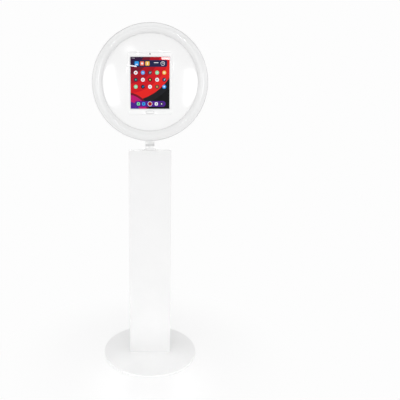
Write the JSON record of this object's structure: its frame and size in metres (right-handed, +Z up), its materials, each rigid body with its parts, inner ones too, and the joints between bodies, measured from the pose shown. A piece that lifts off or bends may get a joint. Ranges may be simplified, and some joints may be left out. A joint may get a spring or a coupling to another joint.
{
  "type": "tablet photo booth",
  "caption": "Free-standing photo booth: round ring-light head with a tablet in a glossy panel, on a telescopic neck over a rectangular column and a round floor plate.",
  "frame": {"origin": "on the floor, under the centre of the round base", "axes": "+Z up, -Y is the way the screen faces, +X to the right as seen from the front"},
  "size_m": [0.4599, 0.406, 1.405],
  "materials": {
    "powder_white": "fine powder coat",
    "base_white": "fine powder coat",
    "neck_white": "satin paint",
    "mast_chrome": "polished",
    "band_grey": "satin",
    "zinc_steel": "zinc plated",
    "bush_ivory": "moulded acetal",
    "rubber_black": "matte",
    "knob_black": "moulded, fine texture",
    "inlet_black": "moulded",
    "lead_black": "smooth jacket",
    "lead_white": "smooth jacket",
    "supply_grey": "plain sheet",
    "shell_white": "satin moulded",
    "gloss_white": "polished",
    "opal_white": "milky, polished",
    "board_white": "solder mask",
    "led_yellow": "phosphor",
    "board_green": "solder mask",
    "tray_black": "matte",
    "foam_grey": "closed-cell foam",
    "tablet_silver": "bead blasted",
    "battery_black": "foil wrap",
    "bezel_white": "white-backed cover glass",
    "screen_dark": "lit display",
    "key_white": "polished",
    "lens_black": "polished"
  },
  "bodies": {
    "stand": {"base_plate": "base_white", "base_feet": "rubber_black", "base_screws": "zinc_steel", "column_foot_frame": "zinc_steel", "column_shell": "powder_white", "column_rear_panel": "powder_white", "rear_panel_screws": "zinc_steel", "column_top_cap": "powder_white", "mast_guide_tube": "zinc_steel", "collar_flange": "neck_white", "collar_screws": "zinc_steel", "upper_guide_bush": "bush_ivory", "hinge_leaves_fixed": "powder_white", "hinge_pins": "zinc_steel", "inlet_module": "inlet_black", "psu_bracket": "zinc_steel", "power_supply": "supply_grey", "mains_lead": "lead_black"},
    "mast": {"mast_tube": "mast_chrome", "lower_guide_bush": "bush_ivory", "swivel_hub": "band_grey", "swivel_circlip": "zinc_steel"},
    "post": {"post_tube": "neck_white", "post_bushes": "bush_ivory", "post_knuckle": "neck_white"},
    "head": {"tilt_bracket": "neck_white", "bracket_screws": "zinc_steel", "tilt_bolt": "zinc_steel", "tilt_washers": "bush_ivory", "chassis_plate": "zinc_steel", "rear_cover": "shell_white", "housing_screws": "zinc_steel", "ring_housing": "shell_white", "led_ring_board": "board_white", "led_chips": "led_yellow", "ring_diffuser": "opal_white", "front_panel": "gloss_white", "cover_glass": "bezel_white", "display_panel": "screen_dark", "tablet_body": "tablet_silver", "tablet_battery": "battery_black", "tablet_mainboard": "board_green", "camera_lens": "lens_black", "tablet_tray": "tray_black", "tablet_corner_pads": "foam_grey", "tray_standoffs": "zinc_steel", "led_driver": "board_green", "charge_lead": "lead_white", "led_lead": "lead_white"},
    "height_lock": {"height_lock_knob": "knob_black"},
    "tilt_lock": {"tilt_knob": "knob_black"},
    "door": {"service_door": "powder_white", "hinge_leaves_door": "powder_white"},
    "door_lock": {"door_lock_cam": "zinc_steel"},
    "mains_switch": {"mains_rocker": "inlet_black"},
    "dimmer": {"dimmer_knob": "knob_black"},
    "home_button": {"home_key": "key_white"},
    "power_button": {"tablet_power_key": "tablet_silver"},
    "volume_up": {"tablet_volume_up_key": "tablet_silver"},
    "volume_down": {"tablet_volume_down_key": "tablet_silver"}
  },
  "joints": [
    {"name": "mast_height", "type": "slide", "parent": "stand", "child": "mast", "axis": [0, 0, 1], "range_m": [0, 0.3]},
    {"name": "post_swivel", "type": "hinge", "parent": "mast", "child": "post", "pos_m": [0, 0.022, 0.929], "axis": [0, 0, 1], "range_deg": [-90, 90]},
    {"name": "head_tilt", "type": "hinge", "parent": "post", "child": "head", "pos_m": [0, 0.022, 1.13], "axis": [1, 0, 0], "range_deg": [-20, 6]},
    {"name": "height_lock_turn", "type": "hinge", "parent": "stand", "child": "height_lock", "pos_m": [0, 0.08, 0.88], "axis": [0, 1, 0], "range_deg": [0, 360]},
    {"name": "tilt_lock_turn", "type": "hinge", "parent": "head", "child": "tilt_lock", "pos_m": [0.032, 0.022, 1.13], "axis": [1, 0, 0], "range_deg": [0, 360]},
    {"name": "door_swing", "type": "hinge", "parent": "stand", "child": "door", "pos_m": [-0.07, 0.0752, 0.47], "axis": [0, 0, 1], "range_deg": [0, 110]},
    {"name": "door_lock_turn", "type": "hinge", "parent": "door", "child": "door_lock", "pos_m": [0.046, 0.072, 0.47], "axis": [0, 1, 0], "range_deg": [0, 90]},
    {"name": "mains_switch_rock", "type": "hinge", "parent": "stand", "child": "mains_switch", "pos_m": [0, 0.0675, 0.099], "axis": [1, 0, 0], "range_deg": [-10, 0]},
    {"name": "dimmer_turn", "type": "hinge", "parent": "head", "child": "dimmer", "pos_m": [0.078, -0.005, 1.237], "axis": [0, 1, 0], "range_deg": [0, 270]},
    {"name": "home_key_press", "type": "slide", "parent": "head", "child": "home_button", "axis": [0, 1, 0], "range_m": [0, 0.0004], "stiffness_N_per_m": 2500, "springref_m": -0.0004},
    {"name": "power_key_press", "type": "slide", "parent": "head", "child": "power_button", "axis": [0, 0, -1], "range_m": [0, 0.0004], "stiffness_N_per_m": 2500, "springref_m": -0.0004},
    {"name": "volume_up_press", "type": "slide", "parent": "head", "child": "volume_up", "axis": [-1, 0, 0], "range_m": [0, 0.0004], "stiffness_N_per_m": 2500, "springref_m": -0.0004},
    {"name": "volume_down_press", "type": "slide", "parent": "head", "child": "volume_down", "axis": [-1, 0, 0], "range_m": [0, 0.0004], "stiffness_N_per_m": 2500, "springref_m": -0.0004}
  ]
}
